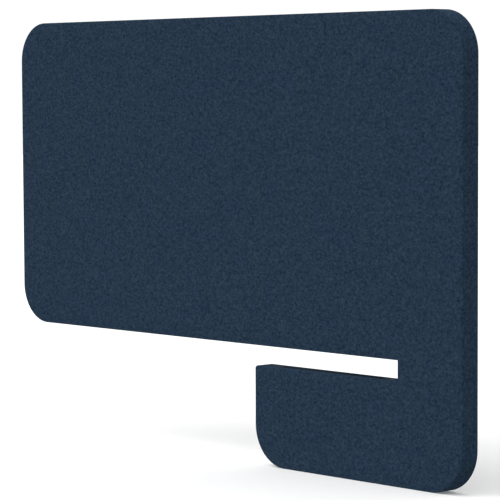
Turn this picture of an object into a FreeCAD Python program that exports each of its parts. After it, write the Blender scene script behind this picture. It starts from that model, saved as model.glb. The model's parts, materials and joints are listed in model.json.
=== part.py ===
"""Slide-on desk privacy panel.

A fabric-covered screen with a hooked outline. Its lower edge stands on a worktop, the worktop's
end slides into the slot, and the tongue holds it from below. Inside is a wooden frame with an
acoustic infill, hardboard facings on both sides, thin foam pads and two pieces of cloth.

The frame of reference: X runs along the panel and is 0 at the slot's inner end, Y runs through
its thickness and is 0 in the middle, and Z points up and is 0 on the slot's upper face, which
is where the panel stands on the worktop. The front faces -Y. Sizes are in millimetres.
"""
import FreeCAD, Part
import math
import os

import Sketcher

DIMENSIONS = {
    # the outline
    "panel_reach": (699.0, "from the slot's inner end to the panel's free edge"),
    "post_width": (101.0, "the post that joins the panel and the tongue"),
    "panel_rise": (392.0, "height above the worktop"),
    "slot_height": (24.2, "clear height of the slot"),
    "tongue_length": (239.5, "length of the tongue, and so of the slot"),
    "tongue_depth": (119.8, "height of the tongue"),
    "corner_radius": (49.5, "the five large corners"),
    "tip_radius": (4.2, "the tongue's upper corner"),
    "panel_thickness": (25.0, "overall thickness with the cloth"),
    "arris_radius": (1.2, "rounding where a face meets an edge"),
    # the layers, from the outside in
    "cloth": (0.8, "thickness of the cloth"),
    "foam": (2.4, "thickness of each foam pad"),
    "facing": (3.0, "thickness of each hardboard facing"),
    "rail_width": (50.0, "width of the frame's rails and of its left stile"),
    "infill_gap": (0.5, "clearance around the infill board"),
    # the frame's joints
    "dowel_radius": (3.0, "wooden dowels"),
    "dowel_length": (30.0, "wooden dowels"),
    "dowel_pitch": (24.0, "between the two dowels of a rail's joint"),
    "tongue_dowel_pitch": (36.0, "between the three dowels of the tongue's joint"),
    # the steel brace around the slot's inner end
    "brace_plate": (2.0, "thickness of the plate"),
    "brace_arm": (34.0, "width of each arm"),
    "brace_arm_reach": (140.0, "from the slot's inner end to the arms' free ends"),
    "brace_spine": (52.0, "width of the upright part"),
    "brace_margin": (7.0, "from the slot's lined faces to the plate"),
    "brace_screw_near": (50.0, "from the slot's inner end to an arm's first screw"),
    "brace_screw_far": (120.0, "from the slot's inner end to an arm's second screw"),
    # screws
    "screw_head_radius": (3.2, "countersunk head"),
    "screw_shank_radius": (1.5, "shank"),
    "screw_point": (2.5, "length of the point"),
    "recess_depth": (1.1, "cross recess in the head"),
    "recess_span": (3.4, "cross recess in the head"),
    "recess_width": (0.8, "cross recess in the head"),
    "brace_screw_length": (10.5, "from the head's top to the point"),
    "liner_screw_length": (18.0, "from the head's top to the point"),
    # the slot's liners, grip strips and bumper
    "liner": (2.0, "thickness of the slot's liners"),
    "liner_length": (232.0, "length of the upper and the lower liner"),
    "liner_screw_pitch": (190.0, "between the two screws of a liner"),
    "grip_length": (168.0, "rubber grip strips"),
    "grip_width": (12.0, "rubber grip strips and bumper"),
    "grip_recess": (1.0, "depth of the recess that holds a strip"),
    "grip_proud": (0.4, "how far a strip stands out of its liner"),
    "bumper_height": (16.0, "height of the bumper at the slot's inner end"),
    # how the cloth is fastened
    "border": (3.0, "front cloth that shows on the back, inside the arris"),
    "hem": (16.0, "front cloth turned onto the back, under the back cloth"),
    "thread": (0.6, "sewing thread between the two cloths"),
    "staple_inset": (9.5, "from the outline to the staples"),
    "staple_pitch": (50.0, "largest distance between staples"),
    "staple_crown": (10.0, "length of a staple's crown"),
    "staple_wire": (0.5, "thickness of the staple's wire"),
    "staple_leg": (4.8, "length of a staple's legs"),
}

doc = FreeCAD.newDocument("desk_privacy_panel")
sheet = doc.addObject("Spreadsheet::Sheet", "dims")
for row, (alias, (size, meaning)) in enumerate(DIMENSIONS.items(), start=1):
    sheet.set(f"A{row}", alias)
    sheet.set(f"B{row}", str(size))
    sheet.setAlias(f"B{row}", alias)
    sheet.set(f"C{row}", meaning)
doc.recompute()

# Places and sizes that several pieces share, as expressions of the sheet's cells.
SEAT = "0"
SLOT_END = "0"
NO_INSET = "0"
LEFT = "-dims.panel_reach"
RIGHT = "dims.post_width"
TOP = "dims.panel_rise"
SLOT_FLOOR = "-dims.slot_height"
BOTTOM = "-dims.slot_height - dims.tongue_depth"
TIP = "-dims.tongue_length"
LINER_START = "-dims.liner_length"
FRAME_LEFT = f"{LEFT} + dims.cloth"
FRAME_RIGHT = f"{RIGHT} - dims.cloth"
FRAME_TOP = f"{TOP} - dims.cloth"
FRAME_BOTTOM = f"{BOTTOM} + dims.cloth"
RAIL_START = f"{FRAME_LEFT} + dims.rail_width"
RAIL_INNER_TOP = f"{FRAME_TOP} - dims.rail_width"
SEAT_INNER_TOP = "dims.cloth + dims.rail_width"
FRAME_RADIUS = "dims.corner_radius - dims.cloth"
FACE = "dims.panel_thickness / 2"
CLOTH_LEVEL = f"{FACE} - dims.cloth"
HEM_LEVEL = f"{FACE} - 2 * dims.cloth"
PAD_LEVEL = f"{CLOTH_LEVEL} - dims.foam"
FRAME_LEVEL = f"{PAD_LEVEL} - dims.facing"
LINER_MIDDLE = "-dims.liner_length / 2"
SLOT_MIDDLE = "-dims.slot_height / 2"

QUARTER_TURN = 90
TOLERANCE = 1e-6


def number(expression):
    """The value of an expression of the sheet's cells."""
    return float(sheet.evalExpression(expression))


def origin_plane(body, role):
    return next(f for f in body.Origin.OriginFeatures if f.Role == role)


def draw_outline(sketch, edges):
    """Draws a closed outline whose edges are in turn level and upright, anticlockwise.

    Each edge is its place, which is the height of a level edge and the distance along of an
    upright one, and the radius of the corner at its end, or None where that corner is sharp.
    The first edge is level.
    """
    count = len(edges)
    level = [i % 2 == 0 for i in range(count)]
    place = [number(edge[0]) for edge in edges]
    radius = [number(edge[1]) if edge[1] else 0.0 for edge in edges]
    corners = []
    for i in range(count):
        after = place[(i + 1) % count]
        x, z = (after, place[i]) if level[i] else (place[i], after)
        corners.append(FreeCAD.Vector(x, z, 0))
    ways = [(corners[i] - corners[i - 1]).normalize() for i in range(count)]
    lines = []
    for i in range(count):
        start = corners[i - 1] + ways[i] * radius[i - 1]
        end = corners[i] - ways[i] * radius[i]
        lines.append(sketch.addGeometry(Part.LineSegment(start, end)))
    for i in range(count):
        sketch.addConstraint(Sketcher.Constraint("Horizontal" if level[i] else "Vertical", lines[i]))
        kind = "DistanceY" if level[i] else "DistanceX"
        distance = sketch.addConstraint(Sketcher.Constraint(kind, -1, 1, lines[i], 1, place[i]))
        sketch.setExpression(f"Constraints[{distance}]", edges[i][0])
        following = lines[(i + 1) % count]
        if not radius[i]:
            sketch.addConstraint(Sketcher.Constraint("Coincident", lines[i], 2, following, 1))
            continue
        way, turn = ways[i], ways[(i + 1) % count]
        centre = corners[i] - way * radius[i] + turn * radius[i]
        begin = math.atan2(-turn.y, -turn.x)
        circle = Part.Circle(centre, FreeCAD.Vector(0, 0, 1), radius[i])
        arc = sketch.addGeometry(Part.ArcOfCircle(circle, begin, begin + math.pi / 2))
        sketch.addConstraint(Sketcher.Constraint("Tangent", lines[i], 2, arc, 1))
        sketch.addConstraint(Sketcher.Constraint("Tangent", arc, 2, following, 1))
        size = sketch.addConstraint(Sketcher.Constraint("Radius", arc, radius[i]))
        sketch.setExpression(f"Constraints[{size}]", edges[i][1])


def layer(name, edges, back, thickness):
    """A body with an outline in the panel's plane, from the level back towards the front."""
    body = doc.addObject("PartDesign::Body", name)
    sketch = body.newObject("Sketcher::SketchObject", f"{name}_outline")
    sketch.AttachmentSupport = [(origin_plane(body, "XZ_Plane"), "")]
    sketch.MapMode = "FlatFace"
    sketch.setExpression("AttachmentOffset.Base.z", f"-({back})")
    draw_outline(sketch, edges)
    pad = body.newObject("PartDesign::Pad", f"{name}_pad")
    pad.Profile = sketch
    pad.setExpression("Length", thickness)
    doc.recompute()
    return body


def box_edges(left, right, bottom, top):
    """The outline of a plain rectangle."""
    return [(bottom, None), (right, None), (top, None), (left, None)]


def hook_edges(inset):
    """The panel's hooked outline, moved inwards by inset."""
    large = f"dims.corner_radius - ({inset})"
    tip = f"dims.tip_radius - ({inset})"
    return [
        (f"{BOTTOM} + {inset}", large),
        (f"{RIGHT} - ({inset})", large),
        (f"{TOP} - ({inset})", large),
        (f"{LEFT} + {inset}", large),
        (f"{SEAT} + {inset}", None),
        (f"{SLOT_END} + {inset}", None),
        (f"{SLOT_FLOOR} - ({inset})", tip if number(tip) > 0 else None),
        (f"{TIP} + {inset}", large),
    ]


def lined_hook_edges():
    """The frame's hooked outline, cut back along the slot to make room for the liners."""
    return [
        (FRAME_BOTTOM, FRAME_RADIUS),
        (FRAME_RIGHT, FRAME_RADIUS),
        (FRAME_TOP, FRAME_RADIUS),
        (FRAME_LEFT, FRAME_RADIUS),
        ("dims.cloth", None),
        (LINER_START, None),
        ("dims.liner", None),
        ("dims.liner", None),
        (f"{SLOT_FLOOR} - dims.liner", None),
        (LINER_START, None),
        (f"{SLOT_FLOOR} - dims.cloth", "dims.tip_radius - dims.cloth"),
        (f"{TIP} + dims.cloth", FRAME_RADIUS),
    ]


def block(name, left, right, front, back, bottom, top):
    """A plain box between six places."""
    box = doc.addObject("Part::Box", name)
    box.setExpression("Length", f"{right} - ({left})")
    box.setExpression("Width", f"{back} - ({front})")
    box.setExpression("Height", f"{top} - ({bottom})")
    box.setExpression("Placement.Base.x", left)
    box.setExpression("Placement.Base.y", front)
    box.setExpression("Placement.Base.z", bottom)
    return box


def combined(kind, name, shapes):
    """A fusion, a common part or a group of several objects."""
    result = doc.addObject(kind, name)
    setattr(result, "Links" if kind == "Part::Compound" else "Shapes", shapes)
    return result


def without(name, base, *tools):
    """The base with each tool cut out of it in turn, under the given name."""
    result = base
    for i, tool in enumerate(tools, start=1):
        cut = doc.addObject("Part::Cut", name if i == len(tools) else f"{name}_cut{i}")
        cut.Base = result
        cut.Tool = tool
        result = cut
    return result


def group(name, solids):
    """Separate solids of one kind that share a node."""
    feature = doc.addObject("Part::Feature", name)
    feature.Shape = Part.makeCompound(solids)
    feature.Placement = FreeCAD.Placement()
    return feature


def screw(length, head_at, way, recessed=True):
    """A countersunk screw, its head's flat at head_at, driven along way; without recess, its hole."""
    head_radius = sheet.screw_head_radius
    shank_radius = sheet.screw_shank_radius
    head = head_radius - shank_radius
    shank = length - head - sheet.screw_point
    solid = Part.makeCone(head_radius, shank_radius, head)
    solid = solid.fuse(Part.makeCylinder(shank_radius, shank, FreeCAD.Vector(0, 0, head)))
    point = Part.makeCone(shank_radius, 0, sheet.screw_point, FreeCAD.Vector(0, 0, head + shank))
    solid = solid.fuse(point)
    slots = [(sheet.recess_span, sheet.recess_width), (sheet.recess_width, sheet.recess_span)]
    for span, width in slots if recessed else []:
        corner = FreeCAD.Vector(-span / 2, -width / 2, 0)
        solid = solid.cut(Part.makeBox(span, width, sheet.recess_depth, corner))
    solid.Placement = FreeCAD.Placement(head_at, FreeCAD.Rotation(FreeCAD.Vector(0, 0, 1), way))
    return solid.removeSplitter()


# ---------------------------------------------------------------- the frame's joints

def dowels():
    """The dowels that join the rails and the tongue to the stiles, all along X."""
    top_middle = f"{FRAME_TOP} - dims.rail_width / 2"
    seat_middle = "dims.cloth + dims.rail_width / 2"
    tongue_middle = f"({SLOT_FLOOR} - dims.liner + {FRAME_BOTTOM}) / 2"
    places = []
    for joint in (RAIL_START, "dims.liner"):
        for middle in (top_middle, seat_middle):
            places += [(joint, f"{middle} + ({side}) * dims.dowel_pitch / 2") for side in (-1, 1)]
    for step in (-1, 0, 1):
        places.append(("dims.liner", f"{tongue_middle} + ({step}) * dims.tongue_dowel_pitch"))
    pins = []
    for i, (joint, height) in enumerate(places, start=1):
        pin = doc.addObject("Part::Cylinder", f"dowel_{i}")
        pin.setExpression("Radius", "dims.dowel_radius")
        pin.setExpression("Height", "dims.dowel_length")
        pin.Placement.Rotation = FreeCAD.Rotation(FreeCAD.Vector(0, 1, 0), QUARTER_TURN)
        pin.setExpression("Placement.Base.x", f"{joint} - dims.dowel_length / 2")
        pin.setExpression("Placement.Base.z", height)
        pins.append(pin)
    return combined("Part::Compound", "frame_dowels", pins)


frame_dowels = dowels()

UPPER_ARM_BOTTOM = "dims.liner + dims.brace_margin"
UPPER_ARM_TOP = f"{UPPER_ARM_BOTTOM} + dims.brace_arm"
LOWER_ARM_TOP = f"{SLOT_FLOOR} - dims.liner - dims.brace_margin"
LOWER_ARM_BOTTOM = f"{LOWER_ARM_TOP} - dims.brace_arm"
SPINE_LEFT = "dims.liner + dims.brace_margin"
ARM_END = "-dims.brace_arm_reach"

brace_blank = layer(
    "brace_blank",
    [
        (LOWER_ARM_BOTTOM, None),
        (f"{SPINE_LEFT} + dims.brace_spine", None),
        (UPPER_ARM_TOP, None),
        (ARM_END, None),
        (UPPER_ARM_BOTTOM, None),
        (SPINE_LEFT, None),
        (LOWER_ARM_TOP, None),
        (ARM_END, None),
    ],
    FRAME_LEVEL,
    "dims.brace_plate",
)


def brace_screw_group(name, recessed):
    """Screws through the brace, or their holes: two in each arm and three in its spine."""
    arm = number(f"({UPPER_ARM_TOP} + {UPPER_ARM_BOTTOM}) / 2")
    lower_arm = number(f"({LOWER_ARM_TOP} + {LOWER_ARM_BOTTOM}) / 2")
    spine = number(f"{SPINE_LEFT} + dims.brace_spine / 2")
    middle = number(SLOT_MIDDLE)
    along_arm = (sheet.brace_screw_near, sheet.brace_screw_far)
    places = [(-along, height) for along in along_arm for height in (arm, lower_arm)]
    places += [(spine, height) for height in (arm, middle, lower_arm)]
    forwards = FreeCAD.Vector(0, -1, 0)
    length = sheet.brace_screw_length
    heads = [FreeCAD.Vector(along, number(FRAME_LEVEL), height) for along, height in places]
    return group(name, [screw(length, head, forwards, recessed) for head in heads])


def liner_screw_group(name, recessed):
    """Screws up through the upper liner and down through the lower one, or their holes."""
    up, down = FreeCAD.Vector(0, 0, 1), FreeCAD.Vector(0, 0, -1)
    solids = []
    for height, way in ((number(SEAT), up), (number(SLOT_FLOOR), down)):
        for side in (-0.5, 0.5):
            along = number(LINER_MIDDLE) + side * sheet.liner_screw_pitch
            head = FreeCAD.Vector(along, 0, height)
            solids.append(screw(sheet.liner_screw_length, head, way, recessed))
    return group(name, solids)


brace_screws = brace_screw_group("brace_screws", True)
brace_screw_holes = brace_screw_group("brace_screw_holes", False)
brace_plate = without("brace_plate", brace_blank, brace_screw_holes)
liner_screws = liner_screw_group("liner_screws", True)
liner_screw_holes = liner_screw_group("liner_screw_holes", False)

# ---------------------------------------------------------------- the wooden frame

FRAME_THICKNESS = f"2 * ({FRAME_LEVEL})"


def frame_piece(name, edges, *tools):
    """A board of the frame, with its joints and recesses cut out."""
    return without(name, layer(f"{name}_board", edges, FRAME_LEVEL, FRAME_THICKNESS), *tools)


left_stile = frame_piece(
    "left_stile",
    [("dims.cloth", None), (RAIL_START, None), (FRAME_TOP, FRAME_RADIUS), (FRAME_LEFT, FRAME_RADIUS)],
    frame_dowels,
)
top_rail = frame_piece(
    "top_rail",
    box_edges(RAIL_START, "dims.liner", RAIL_INNER_TOP, FRAME_TOP),
    frame_dowels,
)
post = frame_piece(
    "post",
    [(FRAME_BOTTOM, FRAME_RADIUS), (FRAME_RIGHT, FRAME_RADIUS), (FRAME_TOP, None), ("dims.liner", None)],
    frame_dowels, brace_blank, brace_screw_holes,
)
seat_rail = frame_piece(
    "seat_rail",
    [
        ("dims.cloth", None), (LINER_START, None),
        ("dims.liner", None), ("dims.liner", None),
        (SEAT_INNER_TOP, None), (RAIL_START, None),
    ],
    frame_dowels, brace_blank, brace_screw_holes, liner_screw_holes,
)
tongue_block = frame_piece(
    "tongue_block",
    [
        (FRAME_BOTTOM, None), ("dims.liner", None),
        (f"{SLOT_FLOOR} - dims.liner", None), (LINER_START, None),
        (f"{SLOT_FLOOR} - dims.cloth", "dims.tip_radius - dims.cloth"),
        (f"{TIP} + dims.cloth", FRAME_RADIUS),
    ],
    frame_dowels, brace_blank, brace_screw_holes, liner_screw_holes,
)
infill_board = layer(
    "infill_board",
    box_edges(
        f"{RAIL_START} + dims.infill_gap", "dims.liner - dims.infill_gap",
        f"{SEAT_INNER_TOP} + dims.infill_gap", f"{RAIL_INNER_TOP} - dims.infill_gap",
    ),
    FRAME_LEVEL,
    FRAME_THICKNESS,
)

# ---------------------------------------------------------------- the cloth's staples


def staple(along, height, upright):
    """A staple whose crown lies level with the hem's outer side and whose legs point forwards."""
    crown, wire, leg = sheet.staple_crown, sheet.staple_wire, sheet.staple_leg
    back = number(CLOTH_LEVEL)
    solid = Part.makeBox(crown, wire, wire, FreeCAD.Vector(-crown / 2, -wire, -wire / 2))
    for side in (-crown / 2, crown / 2 - wire):
        solid = solid.fuse(Part.makeBox(wire, leg, wire, FreeCAD.Vector(side, -leg, -wire / 2)))
    turn = FreeCAD.Rotation(FreeCAD.Vector(0, 1, 0), QUARTER_TURN if upright else 0)
    solid.Placement = FreeCAD.Placement(FreeCAD.Vector(along, back, height), turn)
    return solid.removeSplitter()


def staple_row(start, end, line, upright):
    """Evenly spaced staples between two places on a straight run of the hem."""
    count = max(1, round((end - start) / sheet.staple_pitch))
    step = (end - start) / count
    centres = [start + step * (i + 0.5) for i in range(count)]
    return [staple(line, c, True) if upright else staple(c, line, False) for c in centres]


def staple_group():
    """Staples along every straight run of the hem."""
    inset, bend = sheet.staple_inset, sheet.corner_radius
    left, right, tip = number(LEFT), number(RIGHT), number(TIP)
    top, bottom, floor = number(TOP), number(BOTTOM), number(SLOT_FLOOR)
    rows = [
        (left + bend, right - bend, top - inset, False),
        (bend, top - bend, left + inset, True),
        (left + bend, number(LINER_START) - inset, inset, False),
        (bottom + bend, top - bend, right - inset, True),
        (tip + bend, right - bend, bottom + inset, False),
        (bottom + bend, floor - inset, tip + inset, True),
    ]
    return group("cover_staples", [s for row in rows for s in staple_row(*row)])


cover_staples = staple_group()

# ---------------------------------------------------------------- facings and pads

front_facing = layer("front_facing", lined_hook_edges(), f"-({FRAME_LEVEL})", "dims.facing")
back_facing = without(
    "back_facing",
    layer("back_facing_board", lined_hook_edges(), PAD_LEVEL, "dims.facing"),
    cover_staples,
)
front_pad = layer("front_pad", hook_edges("dims.cloth"), f"-({PAD_LEVEL})", "dims.foam")


def rim_block(name, front, back):
    """The strip round the slot where the back cloth, not the front cloth, turns the edge."""
    inner = f"{SLOT_FLOOR} - dims.hem"
    return block(name, LINER_START, "dims.hem", front, back, inner, "dims.hem")


def pad_with_rebate():
    """The back pad, thinner by one cloth where the hem lies on it."""
    lower = layer("back_pad_lower", hook_edges("dims.cloth"), HEM_LEVEL, "dims.foam - dims.cloth")
    upper = layer("back_pad_upper", hook_edges("dims.hem"), CLOTH_LEVEL, "dims.cloth")
    full = layer("back_pad_full", hook_edges("dims.cloth"), CLOTH_LEVEL, "dims.cloth")
    rim = combined("Part::MultiCommon", "back_pad_rim", [full, rim_block("pad_rim_block", HEM_LEVEL, FACE)])
    sheet_of_foam = combined("Part::MultiFuse", "back_pad_foam", [lower, upper, rim])
    return without("back_pad", sheet_of_foam, cover_staples)


back_pad = pad_with_rebate()

# ---------------------------------------------------------------- the cloths and the seam


def round_arrises(body, radius):
    """Rounds every edge between the body's edge faces and its front and back."""
    base = body.Tip
    depth = number(FACE)
    names = []
    for i, edge in enumerate(base.Shape.Edges, start=1):
        on_a_face = all(abs(abs(v.Point.y) - depth) < TOLERANCE for v in edge.Vertexes)
        if on_a_face and edge.BoundBox.YLength < TOLERANCE:
            names.append(f"Edge{i}")
    fillet = body.newObject("PartDesign::Fillet", f"{body.Name}_arris")
    fillet.Base = (base, names)
    fillet.setExpression("Radius", radius)
    doc.recompute()
    return body


outside = round_arrises(
    layer("outside", hook_edges(NO_INSET), FACE, "dims.panel_thickness"),
    "dims.arris_radius",
)


def front_cloth():
    """The front cloth: the face, the edges, a border on the back and the hem under the back cloth."""
    inside = layer(
        "inside", hook_edges("dims.cloth"), HEM_LEVEL, "dims.panel_thickness - 3 * dims.cloth",
    )
    hem_window = layer("hem_window", hook_edges("dims.hem"), CLOTH_LEVEL, "dims.cloth")
    back_window = layer("back_window", hook_edges("dims.border"), FACE, "dims.cloth")
    channel = block(
        "liner_channel", LINER_START, "dims.liner", f"-({PAD_LEVEL})", FACE,
        f"{SLOT_FLOOR} - dims.liner", "dims.liner",
    )
    rim = rim_block("cover_rim_block", HEM_LEVEL, FACE)
    return without(
        "front_cover", outside, inside, hem_window, back_window, channel, rim, cover_staples,
    )


front_cover = front_cloth()


def back_cloth():
    """The back cloth: a panel inside the seam, and the strip that turns into the slot."""
    panel = layer("back_panel", hook_edges("dims.border + dims.thread"), FACE, "dims.cloth")
    rim = combined(
        "Part::MultiCommon", "back_rim", [outside, rim_block("back_rim_block", PAD_LEVEL, FACE)],
    )
    foam = layer("back_rim_foam", hook_edges("dims.cloth"), CLOTH_LEVEL, "dims.foam")
    turned = without("back_rim_cloth", rim, foam)
    return combined("Part::MultiFuse", "back_cover", [panel, turned])


back_cover = back_cloth()
seam_thread = without(
    "seam_thread",
    layer("seam_outer", hook_edges("dims.border"), FACE, "dims.cloth"),
    layer("seam_inner", hook_edges("dims.border + dims.thread"), FACE, "dims.cloth"),
    rim_block("seam_rim_block", HEM_LEVEL, FACE),
)

# ---------------------------------------------------------------- the slot's lining

GRIP_LEFT = f"{LINER_MIDDLE} - dims.grip_length / 2"
GRIP_RIGHT = f"{LINER_MIDDLE} + dims.grip_length / 2"
HALF_GRIP = "dims.grip_width / 2"
BUMPER_BOTTOM = f"{SLOT_MIDDLE} - dims.bumper_height / 2"
BUMPER_TOP = f"{SLOT_MIDDLE} + dims.bumper_height / 2"


def grip(name, bottom, top):
    """A rubber strip along the slot."""
    return block(name, GRIP_LEFT, GRIP_RIGHT, f"-{HALF_GRIP}", HALF_GRIP, bottom, top)


def slot_liner(name, bottom, top, strip):
    """A strip along the slot's upper or lower face, with a recess for the grip strip."""
    strip_of_liner = block(
        f"{name}_blank", LINER_START, "dims.liner", f"-({PAD_LEVEL})", PAD_LEVEL, bottom, top,
    )
    return without(name, strip_of_liner, strip, liner_screw_holes)


upper_grip_strip = grip("upper_grip_strip", "-dims.grip_proud", "dims.grip_recess")
lower_grip_strip = grip(
    "lower_grip_strip", f"{SLOT_FLOOR} - dims.grip_recess", f"{SLOT_FLOOR} + dims.grip_proud",
)
end_bumper = block(
    "end_bumper", "-dims.grip_proud", "dims.grip_recess", f"-{HALF_GRIP}", HALF_GRIP,
    BUMPER_BOTTOM, BUMPER_TOP,
)
slot_liner_upper = slot_liner("slot_liner_upper", SEAT, "dims.liner", upper_grip_strip)
slot_liner_lower = slot_liner(
    "slot_liner_lower", f"{SLOT_FLOOR} - dims.liner", SLOT_FLOOR, lower_grip_strip,
)
slot_liner_end = without(
    "slot_liner_end",
    block(
        "slot_liner_end_blank", SLOT_END, "dims.liner", f"-({PAD_LEVEL})", PAD_LEVEL,
        SLOT_FLOOR, SEAT,
    ),
    end_bumper,
)

# ---------------------------------------------------------------- checks and files

SUB_PARTS = [
    left_stile, top_rail, post, seat_rail, tongue_block, infill_board, frame_dowels,
    brace_plate, brace_screws, front_facing, back_facing, front_pad, back_pad,
    front_cover, back_cover, seam_thread, cover_staples,
    slot_liner_upper, slot_liner_lower, slot_liner_end, liner_screws,
    upper_grip_strip, lower_grip_strip, end_bumper,
]

doc.recompute()
for item in doc.Objects:
    if {"Invalid", "Error"} & set(item.State):
        raise RuntimeError(f"{item.Name} failed: {item.State}")
for item in SUB_PARTS:
    if item.Shape.isNull() or not item.Shape.isValid():
        raise RuntimeError(f"{item.Label} has no valid shape")

os.makedirs("parts", exist_ok=True)
for item in SUB_PARTS:
    item.Shape.exportStep(f"parts/{item.Label}.step")
    print(f"{item.Label}: {len(item.Shape.Solids)} solid(s), {item.Shape.Volume:.0f} mm3")
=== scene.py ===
"""The looks of a slide-on desk privacy panel: felted cloth stretched over a padded frame.

Everything is in metres, in the CAD frame: X runs along the panel, the front faces -Y, Z is up,
and the origin is at the slot's inner end, on the slot's upper face.
"""
import json
import math

import bmesh
import bpy
import numpy as np
from mathutils import Matrix, Vector
from mathutils.geometry import delaunay_2d_cdt


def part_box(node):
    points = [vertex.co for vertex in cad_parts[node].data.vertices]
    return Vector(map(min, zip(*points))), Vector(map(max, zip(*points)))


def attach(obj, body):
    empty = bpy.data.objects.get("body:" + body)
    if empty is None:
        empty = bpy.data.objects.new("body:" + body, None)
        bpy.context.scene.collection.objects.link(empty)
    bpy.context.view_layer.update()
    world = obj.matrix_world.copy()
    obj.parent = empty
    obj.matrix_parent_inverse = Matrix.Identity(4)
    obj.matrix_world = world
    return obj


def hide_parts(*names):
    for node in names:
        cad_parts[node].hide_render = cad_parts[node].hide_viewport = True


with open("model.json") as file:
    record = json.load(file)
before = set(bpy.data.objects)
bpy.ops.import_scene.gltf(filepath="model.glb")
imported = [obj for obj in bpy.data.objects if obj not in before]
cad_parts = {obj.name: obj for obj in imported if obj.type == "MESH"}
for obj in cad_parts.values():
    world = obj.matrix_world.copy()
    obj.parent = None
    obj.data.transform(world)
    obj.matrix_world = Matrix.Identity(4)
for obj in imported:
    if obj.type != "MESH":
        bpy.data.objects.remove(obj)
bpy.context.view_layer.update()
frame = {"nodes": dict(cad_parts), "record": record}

# ---------------------------------------------------------------- places and sizes from the frame

COVER_LOW, COVER_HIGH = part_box("front_cover")
LEFT, FRONT, BOTTOM = COVER_LOW
RIGHT, BACK, TOP = COVER_HIGH
SLOT_LOW, SLOT_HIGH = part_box("slot_liner_end")
SLOT_END, SLOT_FLOOR, SEAT = SLOT_LOW.x, SLOT_LOW.z, SLOT_HIGH.z
LINER_LOW, LINER_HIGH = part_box("slot_liner_lower")
LINER_START, LINER_FRONT, LINER_BACK = LINER_LOW.x, LINER_LOW.y, LINER_HIGH.y
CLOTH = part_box("front_pad")[0].y - FRONT
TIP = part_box("tongue_block")[0].x - CLOTH
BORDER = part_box("seam_thread")[0].x - LEFT
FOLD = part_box("back_cover")[0].x - LEFT

CORNER_RADIUS = 0.0495
TIP_RADIUS = 0.0042
SLOT_CORNER_RADIUS = 0.0004
LEAST_RADIUS = 0.0002
ARRIS = 0.0012
HEM = 0.016
HEM_GAP = 0.0003  # between the hem and the foam under it
CROWN = 0.0004  # how far the foam swells the cloth between its edges
STITCH_PITCH = 0.006

MESH_STEP = 0.006
FOAM_STEP = 0.012
CORNER_PIECES, TIP_PIECES, SLOT_CORNER_PIECES = 20, 6, 3
ARRIS_PIECES = 5
ARRIS_ANGLES = [math.pi / 2 * k / ARRIS_PIECES for k in range(ARRIS_PIECES + 1)]
TOUCH = 1e-6  # places nearer than this are the same

# ---------------------------------------------------------------- the hooked outline


def hook_corners(inset):
    """The outline's corners, anticlockwise seen from the front: place, radius, turn and pieces."""
    large = max(CORNER_RADIUS - inset, LEAST_RADIUS)
    tip = max(TIP_RADIUS - inset, LEAST_RADIUS)
    inner = SLOT_CORNER_RADIUS + inset
    left, right, tongue = LEFT + inset, RIGHT - inset, TIP + inset
    top, bottom = TOP - inset, BOTTOM + inset
    seat, floor, end = SEAT + inset, SLOT_FLOOR - inset, SLOT_END + inset
    return [
        (tongue, bottom, large, 1, CORNER_PIECES),
        (right, bottom, large, 1, CORNER_PIECES),
        (right, top, large, 1, CORNER_PIECES),
        (left, top, large, 1, CORNER_PIECES),
        (left, seat, large, 1, CORNER_PIECES),
        (LINER_START, seat, 0, 0, 0),
        (end, seat, inner, -1, SLOT_CORNER_PIECES),
        (end, floor, inner, -1, SLOT_CORNER_PIECES),
        (LINER_START, floor, 0, 0, 0),
        (tongue, floor, tip, 1, TIP_PIECES),
    ]


def corner_points(before, here, after):
    """The points that round one corner, from its first tangent point to its last."""
    x, z, radius, turn, pieces = here
    at = np.array([x, z])
    if not pieces:
        return [at]
    way_in = at - np.array(before[:2])
    way_out = np.array(after[:2]) - at
    way_in /= np.linalg.norm(way_in)
    way_out /= np.linalg.norm(way_out)
    centre = at - way_in * radius + way_out * radius
    start = -way_out * radius
    points = []
    for k in range(pieces + 1):
        angle = turn * math.pi / 2 * k / pieces
        c, s = math.cos(angle), math.sin(angle)
        points.append(centre + np.array([c * start[0] - s * start[1], s * start[0] + c * start[1]]))
    return points


def hook(inset):
    """The outline moved inwards by inset, as points in X and Z; every inset has the same count."""
    reference, corners = hook_corners(0), hook_corners(inset)
    count = len(corners)
    points = []
    for i in range(count):
        here = corner_points(corners[i - 1], corners[i], corners[(i + 1) % count])
        points += here
        after = corner_points(corners[i], corners[(i + 1) % count], corners[(i + 2) % count])[0]
        span = np.array(reference[(i + 1) % count][:2]) - np.array(reference[i][:2])
        pieces = max(1, round(float(np.linalg.norm(span)) / MESH_STEP))
        points += [here[-1] + (after - here[-1]) * k / pieces for k in range(1, pieces)]
    return np.array(points)


def along(points):
    """The distance of each point of an outline from the first one, measured along it."""
    steps = np.linalg.norm(np.diff(points, axis=0), axis=1)
    return np.concatenate([[0], np.cumsum(steps)])


def slot_flags():
    """Which points of the outline lie on the lined stretch of the slot, its two ends included."""
    x, z = OUTLINE[:, 0], OUTLINE[:, 1]
    level = (z > SLOT_FLOOR - TOUCH) & (z < SEAT + TOUCH)
    return level & (x > LINER_START - TOUCH) & (x < SLOT_END + TOUCH)


OUTLINE = hook(0)
COUNT = len(OUTLINE)
IN_SLOT = slot_flags()
EVERYWHERE = np.ones(COUNT, bool)
OUTSIDE_SLOT = ~(IN_SLOT & np.roll(IN_SLOT, -1))

# ---------------------------------------------------------------- mesh helpers


def piece_of(mesh):
    """A smooth object that rides on the root body."""
    obj = bpy.data.objects.new(mesh.name, mesh)
    bpy.context.scene.collection.objects.link(obj)
    for polygon in mesh.polygons:
        polygon.use_smooth = True
    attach(obj, "root")
    return obj


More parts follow.
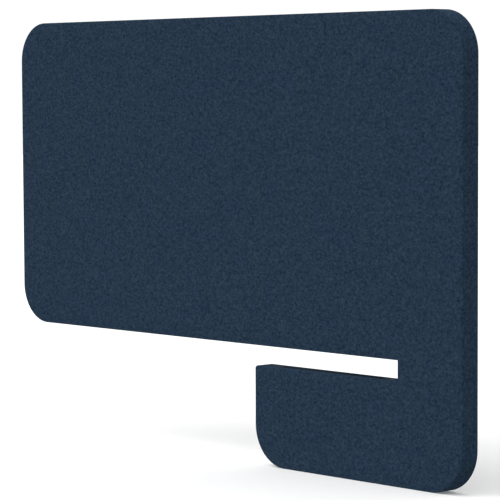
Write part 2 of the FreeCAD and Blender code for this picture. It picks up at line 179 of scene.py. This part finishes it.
def new_object(name, vertices, faces):
    """A piece with the given vertices and faces, its normals turned outwards."""
    mesh = bpy.data.meshes.new(name)
    mesh.from_pydata([tuple(v) for v in vertices], [], [tuple(f) for f in faces])
    mesh.validate()
    mesh.update()
    obj = piece_of(mesh)
    face_outwards(obj)
    return obj


def inside(points, polygon):
    """Which points lie inside a closed polygon."""
    x, z = points[:, 0][:, None], points[:, 1][:, None]
    a, b = polygon, np.roll(polygon, -1, axis=0)
    crosses = (a[:, 1] > z) != (b[:, 1] > z)
    rise = np.where(b[:, 1] == a[:, 1], TOUCH, b[:, 1] - a[:, 1])
    at = a[:, 0] + (z - a[:, 1]) * (b[:, 0] - a[:, 0]) / rise
    return (crosses & (x < at)).sum(1) % 2 == 1


def distance_to(points, polygon):
    """The distance of each point from a closed polygon's sides."""
    a, b = polygon, np.roll(polygon, -1, axis=0)
    side = b - a
    best = np.full(len(points), np.inf)
    for start, way in zip(a, side):
        t = np.clip(((points - start) @ way) / max(way @ way, TOUCH ** 3), 0, 1)
        best = np.minimum(best, np.linalg.norm(points - start - t[:, None] * way, axis=1))
    return best


def fill(boundary, step):
    """Triangles that fill a closed boundary: the boundary's points first, then points inside it."""
    clear = 0.6 * step
    low, high = boundary.min(0), boundary.max(0)
    grid_x = np.arange(low[0] + step / 2, high[0], step)
    grid_z = np.arange(low[1] + step / 2, high[1], step)
    grid = np.array([(x, z) for z in grid_z for x in grid_x])
    grid = grid[inside(grid, boundary)]
    grid = grid[distance_to(grid, boundary) > clear]
    points = np.concatenate([boundary, grid])
    loop = list(range(len(boundary)))
    edges = [(i, (i + 1) % len(boundary)) for i in loop]
    result = delaunay_2d_cdt([Vector(p) for p in points], edges, [loop], 1, 1e-7)
    places, faces, originals = result[0], result[2], result[3]
    index = [originals[i][0] for i in range(len(places))]
    return points, [[index[v] for v in face] for face in faces]


class Shell:
    """Vertices and faces that rings and filled areas are added to."""

    def __init__(self):
        self.vertices = []
        self.faces = []

    def ring(self, points, y):
        """Adds a ring of points at a depth, or at one depth for each point; gives its first index."""
        first = len(self.vertices)
        depths = np.broadcast_to(y, len(points))
        self.vertices += [(p[0], d, p[1]) for p, d in zip(points, depths)]
        return first

    def join(self, a, b, keep):
        """Quads between two rings, at the segments of the outline that are marked in keep."""
        for i in range(COUNT):
            j = (i + 1) % COUNT
            if keep[i]:
                self.faces.append((a + i, a + j, b + j, b + i))

    def cap(self, first, boundary, y, step, flip):
        """Fills the ring that starts at index first; gives the indices of the points inside it."""
        points, faces = fill(boundary, step)
        added = len(self.vertices) - len(boundary)
        inner = list(range(len(self.vertices), len(self.vertices) + len(points) - len(boundary)))
        self.vertices += [(p[0], y, p[1]) for p in points[len(boundary):]]
        for face in faces:
            named = [first + v if v < len(boundary) else added + v for v in face]
            self.faces.append(named[::-1] if flip else named)
        return inner


def face_outwards(obj):
    """Makes a mesh's normals agree with each other and point away from its middle."""
    edit = bmesh.new()
    edit.from_mesh(obj.data)
    bmesh.ops.recalc_face_normals(edit, faces=edit.faces)
    edit.to_mesh(obj.data)
    edit.free()


def thicken(obj, thickness):
    """Gives a sheet the cloth's thickness, towards its inside."""
    solid = obj.modifiers.new("thickness", "SOLIDIFY")
    solid.thickness = thickness
    solid.offset = -1
    solid.use_even_offset = False
    solid.use_quality_normals = True


# ---------------------------------------------------------------- the cloth simulation


def swell(obj, movable, way, cap):
    """Lets the foam push the cloth out between its edges, with Blender's cloth simulation.

    The points in movable move along Y only, by no more than cap, and the rest is held.
    """
    frames = 15
    rest = np.array([v.co for v in obj.data.vertices])
    held = obj.vertex_groups.new(name="held")
    free = set(movable)
    held.add([i for i in range(len(rest)) if i not in free], 1.0, "REPLACE")
    cloth = obj.modifiers.new("swell", "CLOTH")
    settings = cloth.settings
    settings.quality = 4
    settings.mass = 0.2
    settings.tension_stiffness = 12
    settings.compression_stiffness = 12
    settings.shear_stiffness = 6
    settings.bending_stiffness = 0.4
    settings.vertex_group_mass = "held"
    settings.use_pressure = True
    settings.uniform_pressure_force = 3.0
    settings.effector_weights.gravity = 0
    scene = bpy.context.scene
    for number in range(1, frames + 1):
        scene.frame_set(number)
    moved = obj.evaluated_get(bpy.context.evaluated_depsgraph_get()).to_mesh()
    after = np.array([v.co for v in moved.vertices])
    obj.modifiers.remove(cloth)
    obj.vertex_groups.remove(held)
    scene.frame_set(1)
    rise = np.abs(after[:, 1] - rest[:, 1])
    for i in movable:
        obj.data.vertices[i].co.y = rest[i, 1] + way * cap * math.tanh(rise[i] / cap)
    obj.data.update()


# ---------------------------------------------------------------- the front cloth


def arris_inset(angle):
    """How far inside the outline a rounded edge is, from the edge at 0 to the face at a right angle."""
    return ARRIS * (1 - math.cos(angle))


def seam_puckers():
    """How far the stitches draw the border in at each point of the outline."""
    draw = 0.0002
    wave = 0.5 + 0.5 * np.cos(2 * math.pi * along(OUTLINE) / STITCH_PITCH)
    return draw * wave


def front_profile():
    """The front cloth's rings before the slot's lining: the face's edge, the arris and the edge."""
    rings = []
    for angle in ARRIS_ANGLES:
        inset = ARRIS * (1 - math.sin(angle))
        rings.append((hook(inset), FRONT + arris_inset(angle)))
    rings.append((hook(0), LINER_FRONT))
    return rings


def wrapped_profile():
    """Its rings outside the slot: the rest of the edge, the back arris, the border and the hem."""
    rows = 8
    tuck, lift, sink = 0.0002, 0.00005, 0.0003
    rings = [(hook(0), y) for y in np.linspace(LINER_FRONT, BACK - ARRIS, rows)[1:]]
    for angle in ARRIS_ANGLES[1:]:
        rings.append((hook(arris_inset(angle)), BACK - ARRIS * (1 - math.sin(angle))))
    rings.append((hook(BORDER - 2 * tuck), BACK + lift - seam_puckers()))
    rings.append((hook(BORDER), BACK - sink))
    rings.append((hook(BORDER + tuck), BACK - CLOTH - tuck))
    rings.append((hook(HEM), BACK - CLOTH - tuck))
    return rings


def front_cloth():
    """The front cloth: its face, the edges, the border on the back and the hidden hem."""
    shell = Shell()
    face, *before_slot = front_profile()
    first = last = shell.ring(*face)
    stretches = [(ring, EVERYWHERE) for ring in before_slot]
    stretches += [(ring, OUTSIDE_SLOT) for ring in wrapped_profile()]
    for ring, keep in stretches:
        here = shell.ring(*ring)
        shell.join(last, here, keep)
        last = here
    movable = shell.cap(first, face[0], FRONT, MESH_STEP, False)
    used = sorted({v for face in shell.faces for v in face})
    renumber = {old: new for new, old in enumerate(used)}
    vertices = [shell.vertices[v] for v in used]
    faces = [[renumber[v] for v in face] for face in shell.faces]
    obj = new_object("front_cloth", vertices, faces)
    swell(obj, [renumber[v] for v in movable], -1, CROWN)
    thicken(obj, CLOTH)
    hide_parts("front_cover")
    return obj


# ---------------------------------------------------------------- the back cloth


def back_boundary(outer_inset, slot_inset):
    """The back cloth's boundary: inside the seam, and out to the slot's edges along the slot."""
    seam, rim = hook(outer_inset), hook(slot_inset)
    points = []
    for i in range(COUNT):
        starts = IN_SLOT[i] and not IN_SLOT[i - 1]
        ends = IN_SLOT[i] and not IN_SLOT[(i + 1) % COUNT]
        if starts:
            points.append(seam[i])
        points.append(rim[i] if IN_SLOT[i] else seam[i])
        if ends:
            points.append(seam[i])
    return np.array(points)


def back_profile():
    """The back cloth's rings, from its face round the fold: insets and depths, at seam and slot."""
    roll = CLOTH / 2
    return [
        (FOLD + roll, ARRIS, BACK, BACK),
        (FOLD + 0.3 * roll, 0.6 * ARRIS, BACK - 0.3 * roll, BACK - 0.08 * ARRIS),
        (FOLD, 0.3 * ARRIS, BACK - roll, BACK - 0.28 * ARRIS),
        (FOLD + 0.3 * roll, 0.08 * ARRIS, BACK - 1.7 * roll, BACK - 0.6 * ARRIS),
        (FOLD + roll, 0, BACK - 2 * roll, BACK - ARRIS),
        (FOLD + HEM / 2, 0, BACK - 2 * roll, LINER_BACK),
    ]


def back_cloth():
    """The back cloth: a panel with a folded edge, and the strip that turns into the slot."""
    at_slot = distance_to(back_boundary(FOLD, 0), OUTLINE) < TOUCH
    size = len(at_slot)
    rings = []
    for seam_inset, slot_inset, seam_y, slot_y in back_profile():
        points = back_boundary(seam_inset, slot_inset)
        rings.append([(p[0], d, p[1]) for p, d in zip(points, np.where(at_slot, slot_y, seam_y))])
    vertices = [vertex for ring in rings for vertex in ring]
    faces = []
    for last in range(0, size * (len(rings) - 1), size):
        for i in range(size):
            j = (i + 1) % size
            faces.append((last + i, last + j, last + size + j, last + size + i))
    seam_inset, slot_inset = back_profile()[0][:2]
    points, filled = fill(back_boundary(seam_inset, slot_inset), MESH_STEP)
    added = len(vertices) - size
    movable = list(range(len(vertices), len(vertices) + len(points) - size))
    vertices += [(p[0], BACK, p[1]) for p in points[size:]]
    faces += [[v if v < size else added + v for v in face] for face in filled]
    obj = new_object("back_cloth", vertices, faces)
    swell(obj, movable, 1, CROWN)
    thicken(obj, CLOTH / 2)
    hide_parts("back_cover")
    return obj


# ---------------------------------------------------------------- the seam


def sweep(path, radius, sides):
    """The vertices and faces of a closed tube along a short path."""
    vertices, faces = [], []
    for i, at in enumerate(path):
        way = (path[min(i + 1, len(path) - 1)] - path[max(i - 1, 0)]).normalized()
        across = way.cross(Vector((0, 1, 0))).normalized()
        up = across.cross(way)
        for k in range(sides):
            angle = 2 * math.pi * k / sides
            vertices.append(at + (across * math.cos(angle) + up * math.sin(angle)) * radius)
    for i in range(len(path) - 1):
        for k in range(sides):
            n = (k + 1) % sides
            faces.append((i * sides + n, i * sides + k, (i + 1) * sides + k, (i + 1) * sides + n))
    faces.append(tuple(range(sides)))
    faces.append(tuple((len(path) - 1) * sides + k for k in range(sides))[::-1])
    return vertices, faces


def seam_stitches():
    """Slip stitches that close the back cloth to the border, one after the other."""
    thread_radius, sides = 0.00021, 6
    reach, lean = 0.0011, 0.0009
    crest, dip = 0.0003, 0.0009
    nudge, bends = 0.001, 7
    middle = hook((BORDER + FOLD) / 2)
    inner = hook((BORDER + FOLD) / 2 + nudge)
    order = [i for i in range(COUNT) if not IN_SLOT[i]]
    start = next(i for i in order if IN_SLOT[i - 1])
    ordered = [(start + k) % COUNT for k in range(len(order))]
    line, inwards = middle[ordered], (inner - middle)[ordered]
    inwards /= np.linalg.norm(inwards, axis=1)[:, None]
    distance = along(line)
    total = int(distance[-1] / STITCH_PITCH)
    vertices, faces = [], []
    for k in range(total):
        here = (k + 0.5) * distance[-1] / total
        at = np.array([np.interp(here, distance, line[:, c]) for c in (0, 1)])
        way = np.array([np.interp(here, distance, inwards[:, c]) for c in (0, 1)])
        way /= np.linalg.norm(way)
        forward = np.array([way[1], -way[0]])
        path = []
        for t in np.linspace(-1, 1, bends):
            flat = at + way * reach * t + forward * lean * t
            path.append(Vector((flat[0], BACK + crest - dip * t * t, flat[1])))
        new_vertices, new_faces = sweep(path, thread_radius, sides)
        offset = len(vertices)
        vertices += new_vertices
        faces += [[v + offset for v in face] for face in new_faces]
    obj = new_object("seam_stitches", vertices, faces)
    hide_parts("seam_thread")
    return obj


# ---------------------------------------------------------------- foam pads


def foam_pad(name, node, outer_y, inner_y):
    """A foam pad whose outer edges are pressed round by the stretched cloth."""
    clearance, softness, pieces = 0.0001, 0.0012, 4
    edge = CLOTH + clearance
    way = 1 if inner_y > outer_y else -1
    shell = Shell()
    profile = []
    for k in range(pieces + 1):
        angle = math.pi / 2 * k / pieces
        depth = outer_y + way * softness * (1 - math.cos(angle))
        profile.append((edge + softness * (1 - math.sin(angle)), depth))
    profile.append((edge, inner_y))
    rings = [(hook(inset), y) for inset, y in profile]
    first = last = shell.ring(*rings[0])
    for points, y in rings[1:]:
        here = shell.ring(points, y)
        shell.join(last, here, EVERYWHERE)
        last = here
    shell.cap(first, rings[0][0], outer_y, FOAM_STEP, False)
    shell.cap(last, rings[-1][0], inner_y, FOAM_STEP, True)
    obj = new_object(name, shell.vertices, shell.faces)
    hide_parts(node)
    return obj


# ---------------------------------------------------------------- rubber strips and liners


def ribbed_strip(name, node, along_axis, out_axis, out_sign, ribs):
    """An extruded rubber strip, ribbed lengthwise, in the box of its CAD node."""
    low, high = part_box(node)
    across_axis = 3 - along_axis - out_axis
    start, end = low[along_axis], high[along_axis]
    side_low, side_high = low[across_axis], high[across_axis]
    crest = low[out_axis] if out_sign < 0 else high[out_axis]
    base = high[out_axis] if out_sign < 0 else low[out_axis]
    rib = (side_high - side_low) / ribs
    groove = 0.00045
    ease, ease_length = 0.00025, 0.0003
    over_a_rib = np.linspace(0.06, 0.94, 9)
    outline = [(side_low, base)]
    for k in range(ribs):
        for t in over_a_rib:
            lift = math.sin(math.pi * t) ** 0.5
            outline.append((side_low + rib * (k + t), crest - out_sign * groove * (1 - lift)))
    outline.append((side_high, base))
    ends = [(start, ease), (start + ease_length, 0), (end - ease_length, 0), (end, ease)]
    vertices, faces = [], []
    for place, drop in ends:
        for across, out in outline:
            point = [0, 0, 0]
            point[along_axis] = place
            point[across_axis] = across
            point[out_axis] = out if out == base else out - out_sign * drop
            vertices.append(point)
    n = len(outline)
    for r in range(len(ends) - 1):
        for k in range(n):
            j = (k + 1) % n
            faces.append((r * n + k, r * n + j, (r + 1) * n + j, (r + 1) * n + k))
    faces.append(tuple(range(n))[::-1])
    faces.append(tuple((len(ends) - 1) * n + k for k in range(n)))
    obj = new_object(name, vertices, faces)
    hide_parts(node)
    return obj


def eased_copy(name, node, width):
    """A copy of a CAD part with its sharp edges eased, as a moulding has them."""
    edit = bmesh.new()
    edit.from_mesh(frame["nodes"][node].data)
    bmesh.ops.remove_doubles(edit, verts=edit.verts, dist=TOUCH)
    bmesh.ops.dissolve_limit(edit, angle_limit=math.radians(1), verts=edit.verts, edges=edit.edges)
    mesh = bpy.data.meshes.new(name)
    edit.to_mesh(mesh)
    edit.free()
    obj = piece_of(mesh)
    bevel = obj.modifiers.new("ease", "BEVEL")
    bevel.width = width
    bevel.segments = 3
    bevel.limit_method = "ANGLE"
    bevel.angle_limit = math.radians(40)
    bevel.harden_normals = True
    weld = obj.modifiers.new("clean", "WELD")
    weld.merge_threshold = 10 * TOUCH
    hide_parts(node)
    return obj


# ---------------------------------------------------------------- materials


class Nodes:
    """A material's node tree, with short calls for the nodes that the materials share."""

    def __init__(self, name):
        self.material = bpy.data.materials.new(name)
        self.material.use_nodes = True
        self.tree = self.material.node_tree
        self.shader = self.tree.nodes["Principled BSDF"]
        self.place = self.tree.nodes.new("ShaderNodeTexCoord").outputs["Object"]

    def add(self, kind, **inputs):
        """Adds a node; an input is a value or another node's output."""
        node = self.tree.nodes.new(kind)
        for key, value in inputs.items():
            self.feed(node.inputs[key.replace("_", " ")], value)
        return node

    def feed(self, socket, value):
        if isinstance(value, bpy.types.NodeSocket):
            self.tree.links.new(value, socket)
        else:
            socket.default_value = value

    def stretched(self, scale):
        """Object coordinates, scaled differently along each axis."""
        return self.add("ShaderNodeMapping", Vector=self.place, Scale=scale).outputs["Vector"]

    def noise(self, scale, detail=2.0, roughness=0.5, distortion=0.0, vector=None):
        node = self.add(
            "ShaderNodeTexNoise", Vector=vector or self.place, Scale=scale, Detail=detail,
            Roughness=roughness, Distortion=distortion,
        )
        return node.outputs["Fac"]

    def lying(self, place, turn, length, width):
        """Streaks of a length and width, in metres, that lie along a direction given by its turn."""
        lay = self.add(
            "ShaderNodeMapping", Vector=place, Rotation=[math.radians(a) for a in turn],
            Scale=(length, width, width),
        )
        lay.vector_type = "TEXTURE"
        return self.noise(1, detail=0.0, vector=lay.outputs["Vector"])

    def between(self, factor, low, high, start=0.0, end=1.0):
        """A number that goes from low to high while factor goes from start to end."""
        node = self.add("ShaderNodeMapRange", Value=factor)
        for key, value in (("From Min", start), ("From Max", end), ("To Min", low), ("To Max", high)):
            node.inputs[key].default_value = value
        return node.outputs["Result"]

    def mix(self, factor, a, b):
        """A colour between two colours."""
        node = self.tree.nodes.new("ShaderNodeMix")
        node.data_type = "RGBA"
        self.feed(node.inputs[0], factor)
        self.feed(node.inputs[6], a if isinstance(a, bpy.types.NodeSocket) else (*a, 1))
        self.feed(node.inputs[7], b if isinstance(b, bpy.types.NodeSocket) else (*b, 1))
        return node.outputs[2]

    def scaled(self, colour, amount):
        """A colour made lighter or darker by a number."""
        node = self.tree.nodes.new("ShaderNodeVectorMath")
        node.operation = "SCALE"
        self.feed(node.inputs[0], colour)
        self.feed(node.inputs["Scale"], amount)
        return node.outputs[0]

    def vector_math(self, operation, a, b):
        """A colour or place worked out from two others."""
        node = self.tree.nodes.new("ShaderNodeVectorMath")
        node.operation = operation
        self.feed(node.inputs[0], a)
        self.feed(node.inputs[1], b)
        return node.outputs[0]

    def math(self, operation, a, b):
        node = self.tree.nodes.new("ShaderNodeMath")
        node.operation = operation
        self.feed(node.inputs[0], a)
        self.feed(node.inputs[1], b)
        return node.outputs[0]

    def bump(self, height, distance, strength=1.0):
        node = self.add("ShaderNodeBump", Height=height, Distance=distance, Strength=strength)
        self.tree.links.new(node.outputs["Normal"], self.shader.inputs["Normal"])

    def finish(self, colour, roughness, **constants):
        """Sets the shader: colour and roughness may be outputs, the constants are numbers."""
        self.feed(self.shader.inputs["Base Color"], colour)
        self.feed(self.shader.inputs["Roughness"], roughness)
        for key, value in constants.items():
            self.shader.inputs[key.replace("_", " ")].default_value = value
        return self.material


FIBRE_TURNS = ((10, 25, 0), (70, 95, 35), (-35, 150, 80), (25, 60, 130))


def matted_fibres(n):
    """Wool's two patterns: tufts of fibres that lie together, and the single fibres on top."""
    wander, combing = 0.0014, (0.66, 0.76, 1.15)
    tuft_size, fibre_size, fibre_edge = (0.0045, 0.0020), (0.009, 0.0007), 0.05
    swirl = n.add("ShaderNodeTexNoise", Vector=n.place, Scale=220, Detail=1.0).outputs["Color"]
    offset = n.scaled(n.vector_math("SUBTRACT", swirl, (0.5, 0.5, 0.5)), wander)
    place = n.vector_math("MULTIPLY", n.vector_math("ADD", n.place, offset), combing)
    tufts = 0.0
    fibres = 0.0
    for turn in FIBRE_TURNS:
        tuft = n.lying(place, turn, *tuft_size)
        tufts = n.math("ADD", tufts, n.math("DIVIDE", tuft, len(FIBRE_TURNS)))
        ridge = n.math("ABSOLUTE", n.math("SUBTRACT", n.lying(place, turn, *fibre_size), 0.5), 0.0)
        fibres = n.math("MAXIMUM", fibres, n.between(ridge, 1, 0, 0, fibre_edge))
    return tufts, fibres


def felted_cloth(name, shaded, lit):
    """Dense felted wool cloth: mottled tufts of matted fibres, and a slow drift of the colour."""
    n = Nodes(name)
    fibre_share, shade = 0.3, 0.04
    drift = n.noise(38, detail=1.0)
    tufts, fibres = matted_fibres(n)
    depth = n.math("ADD", n.between(tufts, 0, 0.8, 0.32, 0.68), n.math("MULTIPLY", fibres, fibre_share))
    colour = n.mix(n.math("SUBTRACT", depth, shade), shaded, lit)
    tint = n.mix(n.between(drift, 0, 1, 0.35, 0.65), (0.97, 0.98, 1.02), (1.02, 1.02, 0.98))
    relief = n.math("ADD", n.math("MULTIPLY", tufts, 1.2), n.math("MULTIPLY", fibres, 0.4))
    n.bump(relief, 0.0004, 0.7)
    return n.finish(
        n.vector_math("MULTIPLY", colour, tint), n.between(fibres, 0.97, 0.88),
        Sheen_Weight=0.02, Sheen_Roughness=0.5, Sheen_Tint=(0.45, 0.6, 0.8, 1), Specular_IOR_Level=0.02,
    )


def thread_material():
    """Twisted sewing thread."""
    n = Nodes("thread")
    twist = n.noise(2600, detail=1.0, distortion=0.6)
    n.bump(twist, 0.0001, 0.6)
    return n.finish(n.mix(twist, (0.01, 0.02, 0.036), (0.024, 0.042, 0.07)), 0.6, Sheen_Weight=0.2)


def moulded_plastic():
    """Dark navy plastic with a fine spark-eroded texture and faint rubbing along its length."""
    n = Nodes("liner_plastic")
    grain = n.noise(2400, detail=2.0)
    rub = n.noise(1, detail=3.0, vector=n.stretched((30, 900, 900)))
    n.bump(grain, 0.00008, 0.5)
    colour = n.mix(n.between(rub, 0, 1, 0.4, 0.75), (0.017, 0.033, 0.056), (0.026, 0.046, 0.072))
    return n.finish(colour, n.between(grain, 0.72, 0.88), Specular_IOR_Level=0.01)


def grip_rubber():
    """Matt dark navy rubber with a dusty bloom in places."""
    n = Nodes("grip_rubber")
    bloom = n.noise(160, detail=4.0, roughness=0.6)
    grain = n.noise(3000, detail=1.0)
    n.bump(grain, 0.00006, 0.5)
    colour = n.mix(n.between(bloom, 0, 1, 0.45, 0.75), (0.011, 0.019, 0.031), (0.020, 0.032, 0.047))
    return n.finish(colour, n.between(bloom, 0.85, 0.97), Specular_IOR_Level=0.01)


def black_oxide():
    """Blackened steel, dull and slightly uneven."""
    n = Nodes("screw_black")
    patch = n.noise(700, detail=3.0)
    n.bump(n.noise(2800, detail=1.0), 0.00003, 0.4)
    return n.finish(
        n.mix(patch, (0.006, 0.010, 0.015), (0.012, 0.018, 0.026)), n.between(patch, 0.5, 0.7),
        Specular_IOR_Level=0.12,
    )


def wood(name, light, dark, along_axis):
    """Planed wood with its grain along one axis."""
    n = Nodes(name)
    scale = [260, 260, 260]
    scale[along_axis] = 9
    rings = n.noise(1, detail=3.0, distortion=1.2, vector=n.stretched(scale))
    pores = n.noise(6, detail=2.0, vector=n.stretched(scale))
    n.bump(pores, 0.0001, 0.5)
    colour = n.mix(n.between(rings, 0, 1, 0.3, 0.7), dark, light)
    return n.finish(n.scaled(colour, n.between(pores, 0.85, 1.1)), n.between(pores, 0.55, 0.75))


def pressed_fibre(name, light, dark, scale, bump):
    """A board or foam of pressed fibres or cells."""
    n = Nodes(name)
    clump = n.noise(scale / 9, detail=2.0)
    fibre = n.noise(scale, detail=3.0, roughness=0.65, distortion=1.0)
    n.bump(fibre, bump, 0.7)
    colour = n.scaled(n.mix(fibre, dark, light), n.between(clump, 0.85, 1.15))
    return n.finish(colour, n.between(fibre, 0.8, 1.0))


def zinc(name, light, dark):
    """Zinc-plated steel with its spangle and a few scuffs."""
    n = Nodes(name)
    cells = n.add("ShaderNodeTexVoronoi", Vector=n.place, Scale=420).outputs["Color"]
    tone = n.add("ShaderNodeSeparateColor", Color=cells).outputs["Red"]
    scuff = n.noise(900, detail=3.0, distortion=0.5)
    n.bump(scuff, 0.00003, 0.4)
    return n.finish(n.mix(tone, dark, light), n.between(scuff, 0.28, 0.5), Metallic=1.0)


MATERIALS = {
    "cover_cloth": felted_cloth("cover_cloth", (0.0063, 0.0190, 0.0388), (0.0359, 0.0618, 0.0993)),
    "back_cloth": felted_cloth("back_cloth", (0.0061, 0.0185, 0.0379), (0.0350, 0.0604, 0.0972)),
    "thread": thread_material(),
    "foam": pressed_fibre("foam", (0.78, 0.75, 0.66), (0.6, 0.56, 0.47), 1500, 0.0003),
    "infill": pressed_fibre("infill", (0.42, 0.43, 0.44), (0.2, 0.21, 0.22), 700, 0.0004),
    "timber": wood("timber", (0.56, 0.4, 0.23), (0.42, 0.27, 0.13), 0),
    "timber_upright": wood("timber_upright", (0.56, 0.4, 0.23), (0.42, 0.27, 0.13), 2),
    "dowel_wood": wood("dowel_wood", (0.62, 0.47, 0.29), (0.5, 0.35, 0.2), 0),
    "hardboard": pressed_fibre("hardboard", (0.2, 0.105, 0.05), (0.12, 0.06, 0.028), 1100, 0.00008),
    "brace_steel": zinc("brace_steel", (0.62, 0.63, 0.64), (0.48, 0.49, 0.5)),
    "screw_steel": zinc("screw_steel", (0.66, 0.62, 0.5), (0.55, 0.51, 0.4)),
    "screw_black": black_oxide(),
    "staple_wire": zinc("staple_wire", (0.7, 0.71, 0.72), (0.55, 0.56, 0.57)),
    "liner_plastic": moulded_plastic(),
    "grip_rubber": grip_rubber(),
}
UPRIGHT_NODES = ("left_stile", "post")


def dress(obj, material):
    obj.data.materials.clear()
    obj.data.materials.append(MATERIALS[material])


def dress_nodes():
    """Gives every CAD node the material of its slot; the grain of upright timber runs along Z."""
    for part in frame["record"]["subparts"]:
        name, slot = part["node"], part["material_slot"]
        dress(frame["nodes"][name], "timber_upright" if name in UPRIGHT_NODES else slot)


# ---------------------------------------------------------------- the pieces

front = front_cloth()
back = back_cloth()
stitches = seam_stitches()
front_foam = foam_pad("front_foam", "front_pad", FRONT + CLOTH, LINER_FRONT)
back_foam = foam_pad("back_foam", "back_pad", BACK - 2 * CLOTH - HEM_GAP, LINER_BACK)
upper_strip = ribbed_strip("upper_grip", "upper_grip_strip", 0, 2, -1, 5)
lower_strip = ribbed_strip("lower_grip", "lower_grip_strip", 0, 2, 1, 5)
bumper = ribbed_strip("slot_bumper", "end_bumper", 1, 0, -1, 6)
liners = [
    eased_copy(f"{node}_moulding", node, 0.00015)
    for node in ("slot_liner_upper", "slot_liner_lower", "slot_liner_end")
]

dress_nodes()
dress(front, "cover_cloth")
dress(back, "back_cloth")
dress(stitches, "thread")
for pad in (front_foam, back_foam):
    dress(pad, "foam")
for rubber in (upper_strip, lower_strip, bumper):
    dress(rubber, "grip_rubber")
for liner in liners:
    dress(liner, "liner_plastic")


def outline_area(points):
    """The area that a closed outline encloses."""
    x, z = points[:, 0], points[:, 1]
    return abs(float(np.dot(x, np.roll(z, -1)) - np.dot(z, np.roll(x, -1)))) / 2


def declare_cloths():
    """Works out the back cloth's flat area: its face, and what is turned over the edges; nothing uses the
    result.
    """
    outer = along(OUTLINE[~IN_SLOT])[-1]
    slot_run = along(OUTLINE[IN_SLOT])[-1]
    fold = HEM / 2
    back_area = outline_area(hook(FOLD)) + outer * fold + slot_run * (BACK - LINER_BACK)


declare_cloths()

# ---------------------------------------------------------------- camera, floor and light


def aim_camera():
    """A camera to the right of the panel and a little above it, with a long lens."""
    yaw, pitch, roll = (math.radians(a) for a in (48.532, 4.531, -0.309))
    distance = 3.0319
    target = Vector((-0.2731, FRONT, 0.0676))
    forward = Vector((-math.sin(yaw) * math.cos(pitch), math.cos(yaw) * math.cos(pitch), -math.sin(pitch)))
    level = Vector((math.cos(yaw), math.sin(yaw), 0))
    upright = level.cross(forward)
    right = level * math.cos(roll) + upright * math.sin(roll)
    up = upright * math.cos(roll) - level * math.sin(roll)
    turn = Matrix((right, up, -forward)).transposed().to_4x4()
    data = bpy.data.cameras.new("camera")
    data.sensor_width = 36
    data.lens = 181.33
    data.shift_x, data.shift_y = 0.028, 0.074
    camera = bpy.data.objects.new("camera", data)
    camera.matrix_world = Matrix.Translation(target - forward * distance) @ turn
    bpy.context.scene.collection.objects.link(camera)
    bpy.context.scene.camera = camera


def pale_floor():
    """A wide pale floor under the panel's lowest edge."""
    size = 12
    mesh = bpy.data.meshes.new("floor")
    corners = [(-size, -size), (size, -size), (size, size), (-size, size)]
    mesh.from_pydata([(x, y, BOTTOM - 0.0002) for x, y in corners], [], [(0, 1, 2, 3)])
    floor = bpy.data.objects.new("floor", mesh)
    bpy.context.scene.collection.objects.link(floor)
    n = Nodes("floor")
    grey = n.mix(n.noise(3, detail=2.0), (0.84, 0.84, 0.84), (0.86, 0.86, 0.86))
    mesh.materials.append(n.finish(grey, 0.9, Emission_Strength=0.12))
    floor.visible_diffuse = False
    floor.visible_glossy = False


def key_light():
    """One large soft light, high at the front left."""
    data = bpy.data.lights.new("key", "SUN")
    data.energy = 1.45
    data.angle = math.radians(50)
    light = bpy.data.objects.new("key", data)
    towards = Vector((-0.45, -0.54, 0.71))
    light.rotation_euler = towards.to_track_quat("Z", "Y").to_euler()
    bpy.context.scene.collection.objects.link(light)


def white_surround():
    """A white studio: bright walls and ceiling, less light from below, and white behind the panel."""
    ceiling, ground, backdrop = 1.0, 0.48, 1.05
    world = bpy.data.worlds.new("studio")
    bpy.context.scene.world = world
    world.use_nodes = True
    tree = world.node_tree
    surround = tree.nodes["Background"]
    surround.inputs["Color"].default_value = (1, 1, 1, 1)
    place = tree.nodes.new("ShaderNodeTexCoord")
    axes = tree.nodes.new("ShaderNodeSeparateXYZ")
    blend = tree.nodes.new("ShaderNodeMapRange")
    for key, value in (("From Min", -0.3), ("From Max", 0.3), ("To Min", ground), ("To Max", ceiling)):
        blend.inputs[key].default_value = value
    seen = tree.nodes.new("ShaderNodeBackground")
    seen.inputs["Color"].default_value = (1, 1, 1, 1)
    seen.inputs["Strength"].default_value = backdrop
    chooser = tree.nodes.new("ShaderNodeMixShader")
    ray = tree.nodes.new("ShaderNodeLightPath")
    tree.links.new(place.outputs["Generated"], axes.inputs[0])
    tree.links.new(axes.outputs["Z"], blend.inputs["Value"])
    tree.links.new(blend.outputs["Result"], surround.inputs["Strength"])
    tree.links.new(ray.outputs["Is Camera Ray"], chooser.inputs[0])
    tree.links.new(surround.outputs[0], chooser.inputs[1])
    tree.links.new(seen.outputs[0], chooser.inputs[2])
    tree.links.new(chooser.outputs[0], tree.nodes["World Output"].inputs["Surface"])


aim_camera()
pale_floor()
key_light()
white_surround()
bpy.context.scene.view_settings.view_transform = "Standard"
